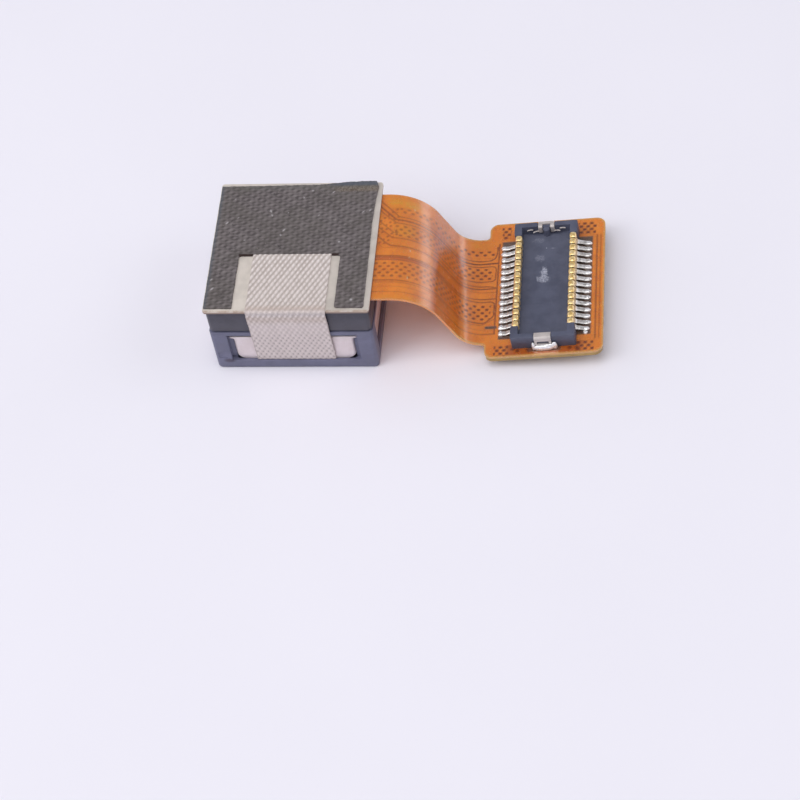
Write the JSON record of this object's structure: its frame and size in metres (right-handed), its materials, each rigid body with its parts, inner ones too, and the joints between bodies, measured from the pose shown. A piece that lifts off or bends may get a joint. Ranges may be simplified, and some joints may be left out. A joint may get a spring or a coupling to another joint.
{
  "type": "camera module",
  "caption": "Phone camera module lying lens down: a square housing with a voice-coil focus drive, and a short bent flexible circuit that ends in a board-to-board plug.",
  "frame": {"origin": "on the optical axis, in the plane of the lens-side face that the module lies on", "axes": "+X along the flexible tail to the connector, +Z from the lens to the sensor, up as the module lies"},
  "size_m": [0.02, 0.0091, 0.0049],
  "materials": {
    "dark_cloth": "woven, matt",
    "silver_cloth": "woven, metal-coated",
    "plate_steel": "matt",
    "film": "satin polyimide over copper traces",
    "pad_board": "matt",
    "grey_plastic": "fine moulded grain",
    "black_plastic": "matt",
    "connector_plastic": "satin",
    "can_steel": "satin, drawn",
    "clip_steel": "satin",
    "spring_metal": "satin",
    "gold": "bright gold plate",
    "copper_wire": "enamelled wire",
    "solder": "bright tin",
    "magnet": "nickel-plated",
    "silicon": "polished",
    "ceramic": "fired, with tinned ends",
    "filter_glass": "coated",
    "lens_plastic": "coated",
    "shield_film": "matt"
  },
  "bodies": {
    "module": {"rear_tape": "dark_cloth", "ground_strap": "silver_cloth", "rear_stiffener": "plate_steel", "flex_circuit": "film", "image_sensor": "silicon", "bond_wires": "gold", "chip_capacitors": "ceramic", "driver_chip": "black_plastic", "sensor_base": "grey_plastic", "infrared_filter": "filter_glass", "actuator_base": "black_plastic", "coil_terminals": "spring_metal", "terminal_solder": "solder", "rear_leaf_spring": "spring_metal", "front_leaf_spring": "spring_metal", "spring_spacer": "black_plastic", "magnet_right": "magnet", "magnet_back": "magnet", "magnet_left": "magnet", "magnet_front": "magnet", "yoke_can": "can_steel", "front_housing": "grey_plastic", "pad_stiffener": "pad_board", "connector_body": "connector_plastic", "contacts_left": "gold", "contacts_right": "gold", "solder_left": "solder", "solder_right": "solder", "front_clip": "clip_steel", "rear_clip": "clip_steel", "clip_solder": "solder"},
    "lens_group": {"lens_carrier": "black_plastic", "voice_coil": "copper_wire", "lens_barrel": "black_plastic", "lens_1": "lens_plastic", "lens_2": "lens_plastic", "lens_3": "lens_plastic", "lens_4": "lens_plastic", "light_shield_front": "shield_film", "light_shield_rear": "shield_film", "lens_spacer": "black_plastic", "retainer_ring": "black_plastic"}
  },
  "joints": [
    {"name": "focus_slide", "type": "slide", "parent": "module", "child": "lens_group", "axis": [0, 0, -1], "range_m": [0, 0.0003], "stiffness_N_per_m": 40, "springref_m": -0.0001, "deforming": ["front_leaf_spring", "rear_leaf_spring"]}
  ]
}
